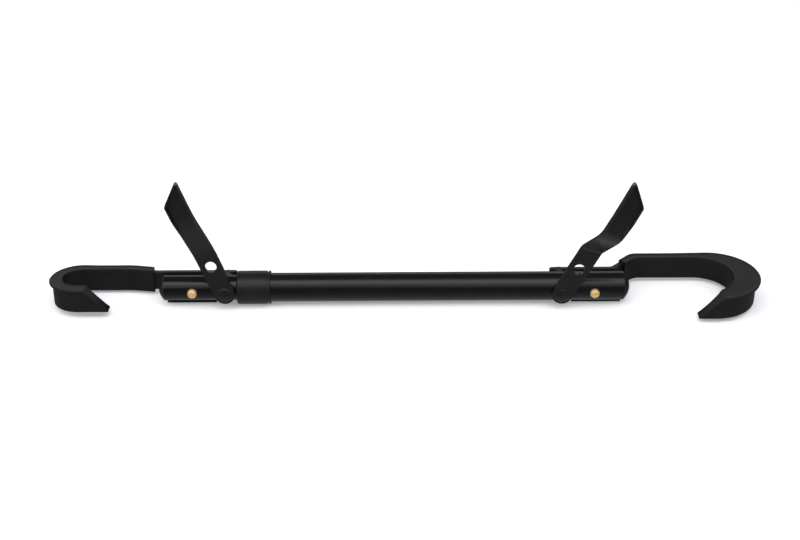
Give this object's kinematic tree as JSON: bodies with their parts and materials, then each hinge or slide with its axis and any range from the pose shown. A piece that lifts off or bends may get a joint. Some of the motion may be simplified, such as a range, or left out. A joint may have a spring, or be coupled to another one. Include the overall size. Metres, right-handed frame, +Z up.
{
  "type": "telescoping bicycle frame adapter bar",
  "caption": "Telescoping black tube with a rubber-covered open hook at each end, each closed by a swinging steel gate lever that snaps over a brass button.",
  "frame": {"origin": "on the main tube's axis, half way along its plain length, where the carrier's arm holds the bar", "axes": "+X along the bar toward the large hook, +Y from the gate levers toward the hooks' backs, +Z up as the bar lies with its gates raised"},
  "size_m": [0.6133, 0.0789, 0.1294],
  "materials": {
    "black_steel": "satin black powder coat",
    "black_gloss_steel": "smooth semi-gloss black",
    "black_rubber": "moulded, matt",
    "black_plastic": "fine-grained moulding",
    "pale_plastic": "plain acetal",
    "black_rivet": "black-oxide steel",
    "plated_washer": "dark plated",
    "button_brass": "drawn and tumbled"
  },
  "bodies": {
    "main_tube": {"main_tube": "black_steel", "tube_collar": "black_plastic", "right_hook_core": "black_steel", "right_hook_cover": "black_rubber", "right_saddle": "black_plastic", "right_end_plug": "black_plastic", "right_pivot_rivet": "black_rivet", "right_pivot_spacer": "black_plastic", "right_pivot_washer": "black_plastic", "right_rear_washer": "plated_washer", "right_blind_rivet": "black_rivet", "right_button_bezel": "black_plastic"},
    "guide_bush": {"guide_bush": "pale_plastic"},
    "inner_tube": {"inner_tube": "black_gloss_steel", "inner_plug": "black_plastic", "left_hook_core": "black_steel", "left_hook_cover": "black_rubber", "left_saddle": "black_plastic", "left_end_plug": "black_plastic", "left_pivot_rivet": "black_rivet", "left_pivot_spacer": "black_plastic", "left_pivot_washer": "black_plastic", "left_rear_washer": "plated_washer", "left_blind_rivet": "black_rivet", "left_button_bezel": "black_plastic"},
    "left_gate": {"left_gate_lever": "black_steel"},
    "right_gate": {"right_gate_lever": "black_steel"},
    "left_button": {"left_snap_button": "button_brass"},
    "right_button": {"right_snap_button": "button_brass"}
  },
  "joints": [
    {"name": "telescope", "type": "slide", "parent": "main_tube", "child": "guide_bush", "axis": [-1, 0, 0], "range_m": [0, 0.197]},
    {"name": "bar_swivel", "type": "hinge", "parent": "guide_bush", "child": "inner_tube", "pos_m": [0.05, 0, 0], "axis": [1, 0, 0], "continuous": true},
    {"name": "left_gate_hinge", "type": "hinge", "parent": "inner_tube", "child": "left_gate", "pos_m": [-0.178, 0, 0], "axis": [0, -0.9969, 0.0785], "range_deg": [-24, 68.6]},
    {"name": "right_gate_hinge", "type": "hinge", "parent": "main_tube", "child": "right_gate", "pos_m": [0.1111, 0, 0], "axis": [0, 1, 0], "range_deg": [-117.5, 62.5]},
    {"name": "left_button_press", "type": "slide", "parent": "inner_tube", "child": "left_button", "axis": [0, 0.9969, -0.0785], "range_m": [0, 0.0036], "stiffness_N_per_m": 1500, "springref_m": -0.002, "deforming": ["left_snap_button"]},
    {"name": "right_button_press", "type": "slide", "parent": "main_tube", "child": "right_button", "axis": [0, 1, 0], "range_m": [0, 0.0036], "stiffness_N_per_m": 1500, "springref_m": -0.002, "deforming": ["right_snap_button"]}
  ]
}
